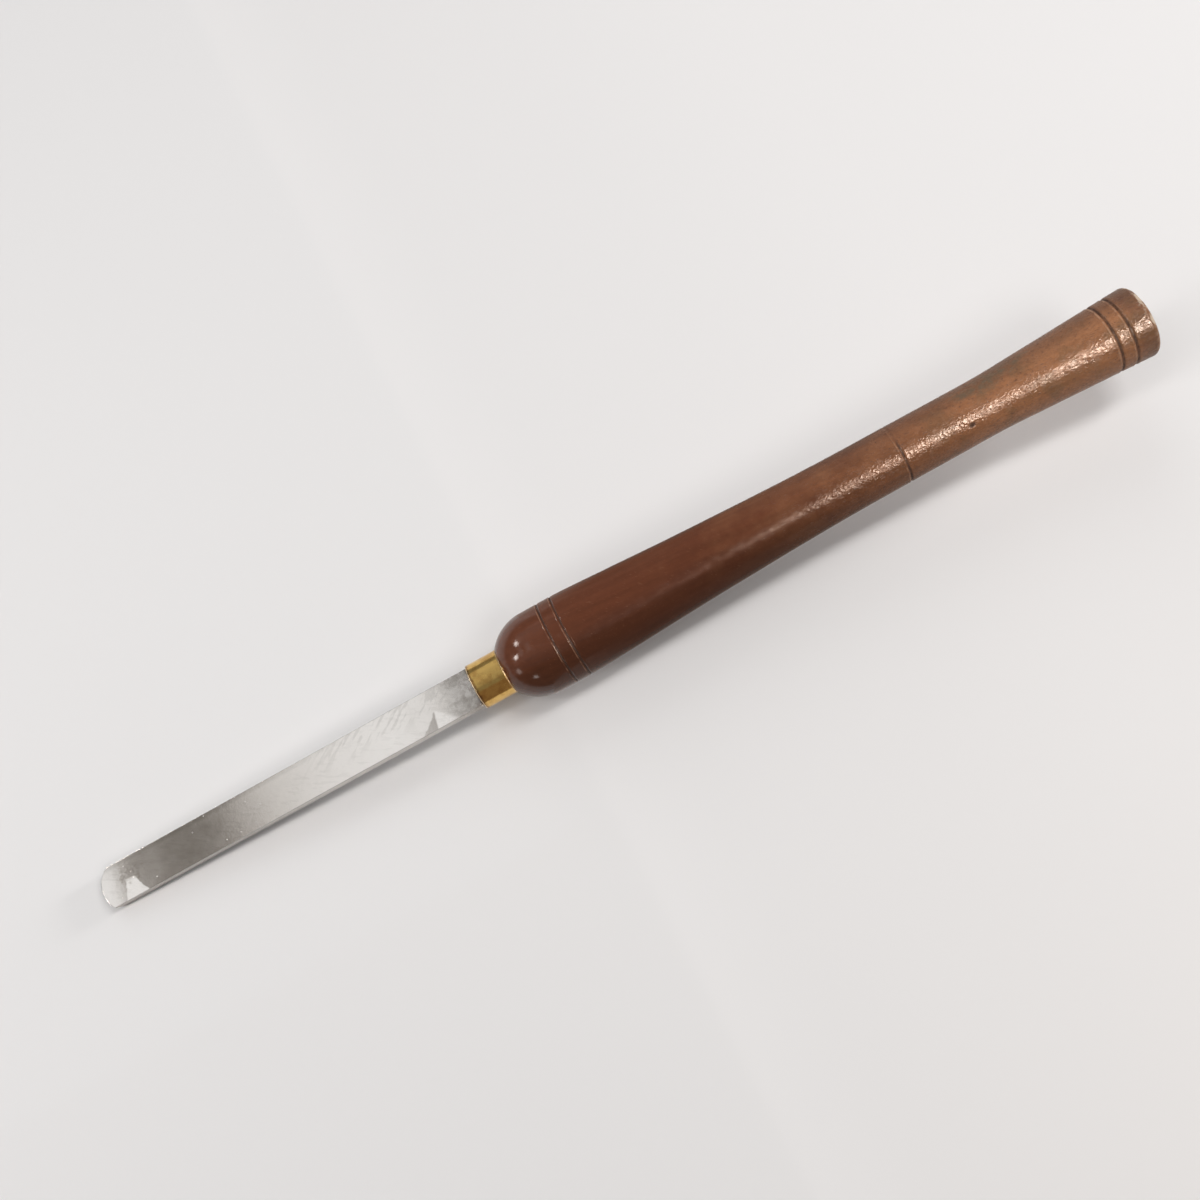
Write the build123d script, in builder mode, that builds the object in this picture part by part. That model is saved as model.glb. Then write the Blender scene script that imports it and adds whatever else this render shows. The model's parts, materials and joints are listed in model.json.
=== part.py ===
from build123d import *
from math import asin, atan2, cos, degrees, hypot, radians, sin, tan
import os

# Round-nose woodturning scraper, laid down as it rests: the nose of the blade and the swell
# of the handle touch the table, and the butt of the handle stands clear of it.
# Millimetres, +Z up. The blade points towards -X and the handle towards +X. The origin is on
# the table, under the middle of the tool.

# Blade, a flat bar of 3/4 in by 1/4 in
blade_width = 19.05
blade_thickness = 6.35
blade_reach = 198.5
bevel_undercut = 15.0
bevel_heel = 0.1
arris_chamfer = 0.4

# Tang, hidden in the handle: narrower and a little thinner than the bar
tang_width = 9.5
tang_thickness = 5.6
tang_length = 62.0
tang_root_radius = 1.2
tang_tip_chamfer = 2.5
tang_clearance = 0.2

# Ferrule, a short brass tube of 7/8 in
ferrule_length = 15.9
ferrule_wall = 0.9
ferrule_rim = 1.06
ferrule_edge_chamfer = 0.3
tenon_clearance = 0.05

# Handle, turned in one piece: places are measured back from its shoulder or in from its butt
handle_length = 330.0
shoulder_step = 0.45
swell_diameter = 40.6
swell_front_station = 18.0
swell_back_station = 37.0
swell_blend = 450.0
taper_diameter = 34.0
taper_station = 97.0
taper_blend = 2000.0
waist_diameter = 28.6
waist_from_butt = 166.0
waist_blend = 1500.0
neck_diameter = 27.5
neck_from_butt = 77.0
neck_blend = 350.0
butt_diameter = 34.8
rim_radius = 2.5

# Scribed rings: a pair on the swell, one midway and a pair at the butt
swell_ring_stations = (26.8, 33.8)
swell_ring_width = 0.8
middle_ring_from_butt = 125.5
middle_ring_width = 1.0
butt_rings_from_butt = (18.8, 11.5)
butt_ring_width = 1.3
ring_angle = 90.0

# Longest stretch of a run that a blend in the outline may take up
blend_share = 0.45

# Sizes that follow from the ones above
bevel_run = blade_thickness * tan(radians(bevel_undercut))
nose_radius = blade_width / 2 + bevel_run + bevel_heel
ferrule_diameter = hypot(blade_width, blade_thickness) + 2 * ferrule_rim
ferrule_bore = ferrule_diameter - 2 * ferrule_wall
tenon_radius = ferrule_bore / 2 - tenon_clearance
tang_bore_radius = hypot(tang_width, tang_thickness) / 2 + tang_clearance
tang_mouth = tang_root_radius + tang_clearance
shoulder_radius = ferrule_diameter / 2 + shoulder_step
swell_radius = swell_diameter / 2
shoulder_drop = swell_radius - shoulder_radius
front_radius = (swell_front_station**2 + shoulder_drop**2) / (2 * shoulder_drop)
front_sweep = degrees(asin(swell_front_station / front_radius))

# Places along the tool, from the tip of the nose
handle_front = blade_reach + ferrule_length
handle_end = handle_front + handle_length
crest = (handle_front + swell_front_station, swell_radius)
tang_bore_end = blade_reach + tang_length + tang_clearance

# The lean at rest: a line from the heel of the bevel that just touches the front of the swell
contact_run = crest[0] - bevel_run
contact_rise = blade_thickness / 2 + front_radius - swell_radius
contact_reach = hypot(contact_run, contact_rise)
lean = asin(front_radius / contact_reach) - atan2(contact_rise, contact_run)

# The tool's own planes: x runs along the tool from the tip of the nose
along = (cos(lean), 0, sin(lean))
upright = (-sin(lean), 0, cos(lean))
tip_overhang = blade_thickness / 2 * sin(lean)
rim_centre = (handle_end - rim_radius, butt_diameter / 2 - rim_radius)
butt_overhang = rim_centre[0] * cos(lean) + rim_centre[1] * sin(lean) + rim_radius
tip_height = blade_thickness / 2 * cos(lean) - bevel_run * sin(lean)
tip = ((tip_overhang - butt_overhang) / 2, 0, tip_height)
side_plane = Plane(origin=tip, x_dir=along, z_dir=(0, -1, 0))
flat_plane = Plane(origin=tip, x_dir=along, z_dir=upright)
tool_axis = Axis(tip, along)
upright_axis = Axis(tip, upright)
nose_centre = side_plane.from_local_coords((nose_radius, 0))
nose_plane = Plane(origin=nose_centre, x_dir=(0, 1, 0), z_dir=along)


# Blade: a bar with softened arrises, its round nose ground to a bevel beneath, then a tang
# behind square shoulders
with BuildPart() as blade:
    with BuildSketch(flat_plane):
        with Locations((blade_reach / 2, 0)):
            Rectangle(blade_reach, blade_width)
    extrude(amount=blade_thickness / 2, both=True)
    chamfer(blade.edges().filter_by(tool_axis), length=arris_chamfer)
    with BuildSketch(nose_plane):
        with BuildLine():
            Polyline(
                (nose_radius, blade_thickness / 2),
                (nose_radius - bevel_run, -blade_thickness / 2),
                (2 * nose_radius, -blade_thickness / 2),
                (2 * nose_radius, blade_thickness / 2),
                close=True,
            )
        make_face()
    revolve(axis=Axis(nose_centre, upright), revolution_arc=180, mode=Mode.SUBTRACT)
    with BuildSketch(flat_plane):
        with Locations((blade_reach + tang_length / 2, 0)):
            tang_outline = Rectangle(tang_length, tang_width)
            chamfer(tang_outline.vertices().group_by(Axis.X)[-1], length=tang_tip_chamfer)
    extrude(amount=tang_thickness / 2, both=True)
    shoulder_edges = blade.edges().filter_by(upright_axis).group_by(tool_axis)[0]
    tang_roots = shoulder_edges.sort_by(Axis.Y)[1:3]
    fillet(tang_roots, radius=tang_root_radius)
blade.part.label = "blade"

# Ferrule: a tube with chamfered ends, flush with the end of the handle's tenon
with BuildPart() as ferrule:
    with BuildSketch(side_plane):
        with Locations((blade_reach + ferrule_length / 2, (ferrule_diameter + ferrule_bore) / 4)):
            Rectangle(ferrule_length, ferrule_wall)
    revolve(axis=tool_axis)
    outer_rims = ferrule.edges().filter_by(GeomType.CIRCLE).group_by(SortBy.RADIUS)[-1]
    chamfer(outer_rims, length=ferrule_edge_chamfer)
ferrule.part.label = "ferrule"

# Turned outline of the handle: the round front of the swell, then straight tapers that flow
# into each other, down to the waist and the slim neck and out to the flare of the butt
outline_corners = (
    crest,
    (handle_front + swell_back_station, swell_radius),
    (handle_front + taper_station, taper_diameter / 2),
    (handle_end - waist_from_butt, waist_diameter / 2),
    (handle_end - neck_from_butt, neck_diameter / 2),
    (handle_end, butt_diameter / 2),
)
outline_blends = (swell_blend, taper_blend, waist_blend, neck_blend)


def corner_blend(index):
    """Blend radius at a corner of the outline, less where the runs beside it are short."""
    before, corner, after = (Vector(*outline_corners[index + step]) for step in (0, 1, 2))
    turn = radians((corner - before).get_angle(after - corner))
    shorter_run = min((corner - before).length, (after - corner).length)
    return min(outline_blends[index], blend_share * shorter_run / tan(turn / 2))


with BuildLine() as turned_outline:
    swell_front = JernArc(crest, (-1, 0), front_radius, front_sweep)
    long_taper = FilletPolyline(
        *outline_corners, radius=[corner_blend(index) for index in range(len(outline_blends))]
    )


def turned_radius(station):
    """Radius of the handle's surface at a distance from the tip of the nose."""
    crossing = Axis((station, 0, 0), (0, 1, 0))
    run = next(run for run in long_taper.edges() if (run @ 0).X <= station <= (run @ 1).X)
    return run.find_intersection_points(crossing)[0].Y


def scribed_ring(station, width):
    """Cut one V-shaped ring, as wide as given at the surface, into the handle."""
    depth = width / 2 / tan(radians(ring_angle / 2))
    bottom = turned_radius(station) - depth
    with BuildSketch(side_plane) as notch:
        with BuildLine():
            Polyline(
                (station, bottom),
                (station + width, bottom + 2 * depth),
                (station - width, bottom + 2 * depth),
                close=True,
            )
        make_face()
    revolve(notch.sketch, axis=tool_axis, mode=Mode.SUBTRACT)


# Handle: the turned body with its tenon for the ferrule and the bored seat of the tang
with BuildPart() as handle:
    with BuildSketch(side_plane):
        with BuildLine():
            add(turned_outline.line)
            Polyline(
                long_taper @ 1,
                (handle_end, 0),
                (tang_bore_end, 0),
                (tang_bore_end, tang_bore_radius),
                (blade_reach + tang_mouth, tang_bore_radius),
                (blade_reach, tang_bore_radius + tang_mouth),
                (blade_reach, tenon_radius),
                (handle_front, tenon_radius),
                swell_front @ 1,
            )
        make_face()
    revolve(axis=tool_axis)
    butt_edge = handle.edges().filter_by(GeomType.CIRCLE).sort_by(tool_axis)[-1]
    fillet(butt_edge, radius=rim_radius)
    for station in swell_ring_stations:
        scribed_ring(handle_front + station, swell_ring_width)
    scribed_ring(handle_end - middle_ring_from_butt, middle_ring_width)
    for distance in butt_rings_from_butt:
        scribed_ring(handle_end - distance, butt_ring_width)
handle.part.label = "handle"

os.makedirs("parts", exist_ok=True)
export_step(blade.part, "parts/blade.step")
export_step(ferrule.part, "parts/ferrule.step")
export_step(handle.part, "parts/handle.step")
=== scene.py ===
"""Looks of a round-nose woodturning scraper, laid down on a pale table.

Lengths are metres in the frame's own axes, unless a name ends in _mm. The tool has axes of its
own: along it from the tip of the nose, across the blade, and upright out of the blade's top.
Inside the operators of the pieces, sizes are millimetres in those axes.
"""
import json
import math

import bpy
import numpy as np
from bpy.props import FloatProperty, FloatVectorProperty, IntProperty, PointerProperty
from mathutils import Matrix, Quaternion, Vector, noise


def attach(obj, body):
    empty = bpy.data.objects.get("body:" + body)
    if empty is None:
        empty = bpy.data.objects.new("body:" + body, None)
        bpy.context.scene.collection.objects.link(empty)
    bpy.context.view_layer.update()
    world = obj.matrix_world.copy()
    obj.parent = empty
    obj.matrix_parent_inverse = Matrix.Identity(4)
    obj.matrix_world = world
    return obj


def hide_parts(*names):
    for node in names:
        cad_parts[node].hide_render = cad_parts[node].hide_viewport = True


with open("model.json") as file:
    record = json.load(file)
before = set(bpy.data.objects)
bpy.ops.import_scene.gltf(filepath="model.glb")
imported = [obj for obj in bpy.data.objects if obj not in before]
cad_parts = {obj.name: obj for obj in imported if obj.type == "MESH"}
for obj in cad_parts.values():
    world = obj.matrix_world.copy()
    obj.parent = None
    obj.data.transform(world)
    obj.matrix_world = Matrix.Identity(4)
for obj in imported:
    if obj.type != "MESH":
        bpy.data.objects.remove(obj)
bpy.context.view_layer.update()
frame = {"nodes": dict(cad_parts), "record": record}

bl_info = {
    "name": "Woodturning Scraper",
    "version": (1, 0, 0),
    "blender": (4, 5, 0),
    "location": "3D View > Sidebar > Scraper",
    "description": "Turns the handle and ferrule and grinds the blade of a lathe scraper",
    "category": "Object",
}

MM = 0.001

# The tool's own axes, from the two mounts of the frame
MOUNTS = {mount["name"]: mount for mount in frame["record"]["mounts"]}
ALONG = -Vector(MOUNTS["ferrule_grip"]["axis"]).normalized()
UPRIGHT = -Vector(MOUNTS["tool_rest_face"]["axis"]).normalized()
ACROSS = UPRIGHT.cross(ALONG)
LEAN = math.asin(ALONG.z)
GRIP_POINT = Vector(MOUNTS["ferrule_grip"]["pos_m"])
NOSE_REACH = min((v.co - GRIP_POINT).dot(ALONG) for v in frame["nodes"]["blade"].data.vertices)
TIP = GRIP_POINT + ALONG * NOSE_REACH

# How near to a plane a corner of the frame lies to count as in it
IN_PLANE_MM = 0.01


def tool_places_mm(node):
    """A node's corners as rows of along, across and upright, from the tip of the nose."""
    corners = np.array([v.co - TIP for v in frame["nodes"][node].data.vertices])
    return corners @ np.array([ALONG, ACROSS, UPRIGHT]).T / MM


BLADE_MM = tool_places_mm("blade")
FERRULE_MM = tool_places_mm("ferrule")
HANDLE_MM = tool_places_mm("handle")
BLADE_REACH_MM = float(FERRULE_MM[:, 0].min())
HANDLE_FRONT_MM = float(FERRULE_MM[:, 0].max())
HANDLE_END_MM = float(HANDLE_MM[:, 0].max())
FERRULE_RADIUS_MM = float(FERRULE_MM[:, 2].max())


# Settings that a user would change
def colour_setting(name, description, default):
    """A colour that a user can change."""
    return FloatVectorProperty(
        name=name, description=description, subtype="COLOR", min=0.0, max=1.0, default=default
    )


class ScraperHandleSettings(bpy.types.PropertyGroup):
    """Turned wooden handle."""

    steps_around: IntProperty(
        name="Steps Around",
        description="Faces in each ring round the handle",
        min=24,
        default=216,
    )
    row_spacing: FloatProperty(
        name="Row Spacing",
        description="Distance between rings of faces along the handle",
        unit="LENGTH",
        precision=5,
        default=0.001,
    )
    waviness: FloatProperty(
        name="Waviness",
        description="Height of the low waves left by hand turning and sanding",
        unit="LENGTH",
        precision=6,
        default=0.00007,
    )
    stain_dark: colour_setting(
        "Dark Stain", "Colour of the stained wood where it is darkest", (0.108, 0.0315, 0.0125)
    )
    stain_light: colour_setting(
        "Light Stain", "Colour of the stained wood where it is lightest", (0.13, 0.038, 0.0155)
    )
    stain_worn: colour_setting(
        "Worn Stain",
        "Colour of the stain near the butt, where hands have thinned it",
        (0.4, 0.178, 0.083),
    )
    bare_wood: colour_setting(
        "Bare Wood", "Colour of the wood in chips of the finish", (0.52, 0.42, 0.32)
    )


class ScraperFerruleSettings(bpy.types.PropertyGroup):
    """Brass ferrule."""

    rim_rounding: FloatProperty(
        name="Rim Rounding",
        description="Radius of the softened rims",
        unit="LENGTH",
        precision=5,
        default=0.0003,
    )
    brass: colour_setting("Brass", "Colour of the clean brass", (0.8, 0.53, 0.17))
    tarnish: colour_setting("Tarnish", "Colour of the tarnished brass", (0.42, 0.2, 0.05))


class ScraperBladeSettings(bpy.types.PropertyGroup):
    """Ground steel blade."""

    arris_radius: FloatProperty(
        name="Arris Radius",
        description="Radius of the softened long edges",
        unit="LENGTH",
        precision=5,
        default=0.00015,
    )
    steel: colour_setting("Steel", "Colour of the ground steel", (0.76, 0.735, 0.71))
    dull_steel: colour_setting(
        "Dull Steel", "Colour of stains and of pits on the steel", (0.36, 0.34, 0.31)
    )


class ScraperStageSettings(bpy.types.PropertyGroup):
    """Table, lamps and camera."""

    table_colour: colour_setting("Table Colour", "Colour of the table", (0.805, 0.805, 0.81))
    room_light: FloatProperty(
        name="Room Light",
        description="Strength of the even light that comes from all sides",
        min=0.0,
        default=0.25,
    )
    camera_distance: FloatProperty(
        name="Camera Distance",
        description="Distance from the camera to the point of the table that it looks at",
        unit="LENGTH",
        precision=5,
        default=0.71651,
    )
    camera_azimuth: FloatProperty(
        name="Camera Azimuth",
        description="Turn of the camera round the tool, from the near side",
        subtype="ANGLE",
        default=math.radians(-8.42),
    )
    camera_elevation: FloatProperty(
        name="Camera Elevation",
        description="Height of the camera above the horizon",
        subtype="ANGLE",
        default=math.radians(75.138),
    )
    camera_roll: FloatProperty(
        name="Camera Roll",
        description="Turn of the camera about its own line of sight",
        subtype="ANGLE",
        default=math.radians(-19.756),
    )
    camera_target: FloatVectorProperty(
        name="Camera Target",
        description="Point of the table that the camera looks at",
        subtype="TRANSLATION",
        precision=6,
        default=(-0.003825, 0.013909, 0.0),
    )


# Short ways to lay out shader nodes
class Value:
    """A shader socket that sums and products are written with, as with a number."""

    def __init__(self, socket):
        self.socket = socket
        self.tree = socket.id_data

    def __add__(self, other):
        return calculate(self.tree, "ADD", self, other)

    def __sub__(self, other):
        return calculate(self.tree, "SUBTRACT", self, other)

    def __rsub__(self, other):
        return calculate(self.tree, "SUBTRACT", other, self)

    def __mul__(self, other):
        return calculate(self.tree, "MULTIPLY", self, other)

    def size(self):
        """This number without its sign."""
        return calculate(self.tree, "ABSOLUTE", self)

    def larger(self, other):
        """The larger of this number and another."""
        return calculate(self.tree, "MAXIMUM", self, other)

    def smaller(self, other):
        """The smaller of this number and another."""
        return calculate(self.tree, "MINIMUM", self, other)

    def held(self):
        """This number, held between 0 and 1."""
        return node_value(self.tree, "ShaderNodeClamp", "Result", {"Value": self})

    def eased(self, low, high, start=0.0, end=1.0):
        """This number, eased from one range to another and held at the ends."""
        inputs = {"Value": self, "From Min": low, "From Max": high, "To Min": start, "To Max": end}
        ease = "SMOOTHSTEP"
        return node_value(
            self.tree, "ShaderNodeMapRange", "Result", inputs, interpolation_type=ease
        )


def add_node(tree, kind, inputs=None, **settings):
    """A new node with its settings made, and each input set to a number or joined to a value."""
    node = tree.nodes.new(kind)
    for name, value in settings.items():
        setattr(node, name, value)
    for name, value in (inputs or {}).items():
        if isinstance(value, Value):
            tree.links.new(value.socket, node.inputs[name])
        else:
            node.inputs[name].default_value = value
    return node


def node_value(tree, kind, output, inputs=None, **settings):
    """What a new node gives out at one of its outputs."""
    return Value(add_node(tree, kind, inputs, **settings).outputs[output])


def calculate(tree, operation, *values):
    """Math on numbers or values."""
    inputs = dict(enumerate(values))
    return node_value(tree, "ShaderNodeMath", 0, inputs, operation=operation)


def calculate_vector(operation, first, *others):
    """Math on vectors, of which the first is a value."""
    inputs = dict(enumerate((first, *others)))
    return node_value(first.tree, "ShaderNodeVectorMath", 0, inputs, operation=operation)


def vector_length(vector):
    """Length of a vector."""
    return node_value(
        vector.tree, "ShaderNodeVectorMath", "Value", {0: vector}, operation="LENGTH"
    )


def turned(place, angle):
    """A place, turned about the upright axis."""
    inputs = {"Vector": place, "Angle": angle}
    about = "Z_AXIS"
    return node_value(
        place.tree, "ShaderNodeVectorRotate", "Vector", inputs, rotation_type=about
    )


def parted(place):
    """The three numbers of a place."""
    outputs = add_node(place.tree, "ShaderNodeSeparateXYZ", {"Vector": place}).outputs
    return [Value(socket) for socket in outputs]


def blend(first, second, share):
    """The first colour, turned to the second by a share."""
    inputs = {0: share}
    for socket_index, colour in ((6, first), (7, second)):
        inputs[socket_index] = colour if isinstance(colour, Value) else (*colour, 1.0)
    return node_value(share.tree, "ShaderNodeMix", 2, inputs, data_type="RGBA")


def grain_noise(place, feature, detail=2.0, roughness=0.5):
    """Noise between 0 and 1 whose features are about as long on each axis as given."""
    inputs = {
        "Vector": calculate_vector("DIVIDE", place, feature),
        "Scale": 1.0,
        "Detail": detail,
        "Roughness": roughness,
    }
    return node_value(place.tree, "ShaderNodeTexNoise", 0, inputs)


def new_group(name, inputs, output):
    """An empty shader group with float sockets, or vector ones where the default is a vector."""
    group = bpy.data.node_groups.new(name, "ShaderNodeTree")
    for label, value in inputs.items():
        kind = "NodeSocketVector" if isinstance(value, tuple) else "NodeSocketFloat"
        socket = group.interface.new_socket(name=label, in_out="INPUT", socket_type=kind)
        socket.default_value = value
    group.interface.new_socket(name=output, in_out="OUTPUT", socket_type="NodeSocketFloat")
    outputs = add_node(group, "NodeGroupInput").outputs
    return group, {label: Value(outputs[label]) for label in inputs}


def use_group(name, position, **values):
    """What a shared group gives out in a material, with that material's own values."""
    inputs = {"Position": position, **values}
    group = bpy.data.node_groups[name]
    return node_value(position.tree, "ShaderNodeGroup", 0, inputs, node_tree=group)


# Effects that more than one material uses
def make_strokes_group():
    """Short thin marks in one direction: pores in wood, scratches and grinding streaks in metal."""
    group, given = new_group(
        "Strokes",
        {"Position": (0.0, 0.0, 0.0), "Turn": 0.0, "Length": 6.0, "Width": 0.3, "Amount": 0.3},
        "Mask",
    )
    sides = {"X": given["Length"], "Y": given["Width"], "Z": given["Width"]}
    feature = node_value(group, "ShaderNodeCombineXYZ", "Vector", sides)
    marks = grain_noise(turned(given["Position"], given["Turn"]), feature, detail=1.0)
    fewest = given["Amount"] * -0.45 + 0.78
    add_node(group, "NodeGroupOutput", {"Mask": marks.eased(fewest, fewest + 0.1)})


def make_specks_group():
    """Small round spots, scattered: pits, dust nibs and stains."""
    group, given = new_group(
        "Specks",
        {"Position": (0.0, 0.0, 0.0), "Spacing": 3.0, "Radius": 0.3, "Share": 0.4},
        "Mask",
    )
    scaled = calculate_vector("DIVIDE", given["Position"], given["Spacing"])
    cells = add_node(group, "ShaderNodeTexVoronoi", {"Vector": scaled, "Scale": 1.0}).outputs
    reach = Value(cells["Distance"]) * given["Spacing"]
    middle = {"Vector": Value(cells["Position"])}
    chance = node_value(group, "ShaderNodeTexWhiteNoise", "Value", middle)
    chosen = calculate(group, "LESS_THAN", chance, given["Share"])
    spot = reach.eased(given["Radius"], given["Radius"] * 0.4)
    add_node(group, "NodeGroupOutput", {"Mask": spot * chosen})


def make_mottling_group():
    """Soft cloudy change between 0 and 1: uneven stain, tarnish and handling."""
    group, given = new_group(
        "Mottling", {"Position": (0.0, 0.0, 0.0), "Size": 12.0, "Contrast": 1.0}, "Value"
    )
    clouds = grain_noise(given["Position"], given["Size"], detail=5.0, roughness=0.6)
    steeper = (clouds - 0.5) * (given["Contrast"] * 2.2)
    add_node(group, "NodeGroupOutput", {"Value": (steeper + 0.5).held()})


def make_patch_group():
    """One worn place with a ragged outline, round a point."""
    group, given = new_group(
        "Worn Patch",
        {
            "Position": (0.0, 0.0, 0.0),
            "Centre": (0.0, 0.0, 0.0),
            "Reach": (5.0, 5.0, 5.0),
            "Raggedness": 0.5,
            "Softness": 0.3,
        },
        "Mask",
    )
    away = calculate_vector("SUBTRACT", given["Position"], given["Centre"])
    scaled = calculate_vector("DIVIDE", away, given["Reach"])
    torn = grain_noise(scaled, (0.45, 0.45, 0.45), detail=4.0, roughness=0.65)
    ragged = (torn - 0.5) * 2.0 * given["Raggedness"] + vector_length(scaled)
    add_node(group, "NodeGroupOutput", {"Mask": ragged.eased(1.0, 1.0 - given["Softness"])})


def make_shared_groups():
    """The shared groups, made once."""
    makers = {
        "Strokes": make_strokes_group,
        "Specks": make_specks_group,
        "Mottling": make_mottling_group,
        "Worn Patch": make_patch_group,
    }
    for name, make in makers.items():
        if name not in bpy.data.node_groups:
            make()


def empty_material(name):
    """A new material without nodes, and its tree."""
    make_shared_groups()
    material = bpy.data.materials.new(name)
    material.use_nodes = True
    material.node_tree.nodes.clear()
    return material, material.node_tree


def tool_position(tree):
    """Place on the surface in the tool's own axes, in millimetres from the tip of the nose."""
    inputs = {
        "Vector": node_value(tree, "ShaderNodeTexCoord", "Object"),
        "Location": TIP,
        "Rotation": (0.0, -LEAN, 0.0),
        "Scale": (MM, MM, MM),
    }
    return node_value(tree, "ShaderNodeMapping", "Vector", inputs, vector_type="TEXTURE")


def principled(tree, **sockets):
    """A Principled shader joined to the material's output."""
    inputs = {name.replace("_", " "): value for name, value in sockets.items()}
    shader = node_value(tree, "ShaderNodeBsdfPrincipled", "BSDF", inputs)
    add_node(tree, "ShaderNodeOutputMaterial", {"Surface": shader})


def bump(height_mm):
    """A normal bumped by a height in millimetres."""
    inputs = {"Distance": MM, "Height": height_mm}
    return node_value(height_mm.tree, "ShaderNodeBump", "Normal", inputs)


# Short ways to make meshes and objects
def new_object(name, data):
    """A new object in the scene."""
    made = bpy.data.objects.new(name, data)
    bpy.context.scene.collection.objects.link(made)
    return made


def tool_piece(name, corners_mm, faces, material, replaced):
    """A smooth-shaded piece in the tool's own axes that takes the place of a node of the frame."""
    mesh = bpy.data.meshes.new(name)
    axes = np.array([ALONG, ACROSS, UPRIGHT])
    corners = np.array(corners_mm) @ axes * MM + np.array(TIP)
    mesh.from_pydata(corners.tolist(), [], faces)
    mesh.validate()
    mesh.polygons.foreach_set("use_smooth", [True] * len(mesh.polygons))
    mesh.materials.append(material)
    piece = new_object(name, mesh)
    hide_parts(replaced)
    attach(piece, "root")


def turned_faces(rows, steps):
    """Faces between rings of equal steps, where a ring of one corner is a pole."""
    faces = []
    start = 0
    for before, after in zip(rows, rows[1:]):
        after_start = start + (steps if before else 1)
        for step in range(steps):
            following = (step + 1) % steps
            near = [start + step, start + following] if before else [start]
            far = [after_start + following, after_start + step] if after else [after_start]
            faces.append(near + far)
        start = after_start
    return faces


def turn_solid(outline_mm, steps, change_mm):
    """Corners and faces of a solid turned from stations and radii, its surface changed by place."""
    corners = []
    for station, radius in outline_mm:
        if radius == 0:
            corners.append((station, 0.0, 0.0))
            continue
        for step in range(steps):
            angle = 2 * math.pi * step / steps
            local = radius + change_mm(station, radius, angle)
            corners.append((station, local * math.cos(angle), local * math.sin(angle)))
    return corners, turned_faces([radius > 0 for _, radius in outline_mm], steps)


def smooth_step(value):
    """Ease from 0 to 1, held outside."""
    held = min(max(value, 0.0), 1.0)
    return held * held * (3 - 2 * held)


def seam_outline_mm(places_mm, first_station_mm, least_radius_mm):
    """Stations and radii of a turned node's outer outline, read where its mesh meets itself."""
    along, across, upright = places_mm.T
    seam = (abs(across) < IN_PLANE_MM) & (upright > least_radius_mm)
    seam &= along > first_station_mm - IN_PLANE_MM
    pairs = {(round(float(x), 3), round(float(z), 3)) for x, z in zip(along[seam], upright[seam])}
    return sorted(pairs, key=lambda pair: (pair[0], -pair[1]))


class EasedCurve:
    """A curve through knots that never overshoots them."""

    def __init__(self, knots):
        self.x, self.y = np.array(knots).T
        self.run = np.diff(self.x)
        rise = np.diff(self.y) / self.run
        self.slope = np.zeros(len(self.x))
        self.slope[0], self.slope[-1] = rise[0], rise[-1]
        same_way = rise[1:] * rise[:-1] > 0
        weight_a = 2 * self.run[1:] + self.run[:-1]
        weight_b = self.run[1:] + 2 * self.run[:-1]
        with np.errstate(divide="ignore", invalid="ignore"):
            mean = (weight_a + weight_b) / (weight_a / rise[:-1] + weight_b / rise[1:])
        self.slope[1:-1] = np.where(same_way, mean, 0.0)

    def __call__(self, station):
        last = len(self.run) - 1
        i = min(max(int(np.searchsorted(self.x, station)) - 1, 0), last)
        run = self.run[i]
        t = (station - self.x[i]) / run
        start = (1 + 2 * t) * (1 - t) ** 2 * self.y[i] + t * (1 - t) ** 2 * run * self.slope[i]
        end = t * t * (3 - 2 * t) * self.y[i + 1] + t * t * (t - 1) * run * self.slope[i + 1]
        return float(start + end)


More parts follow.
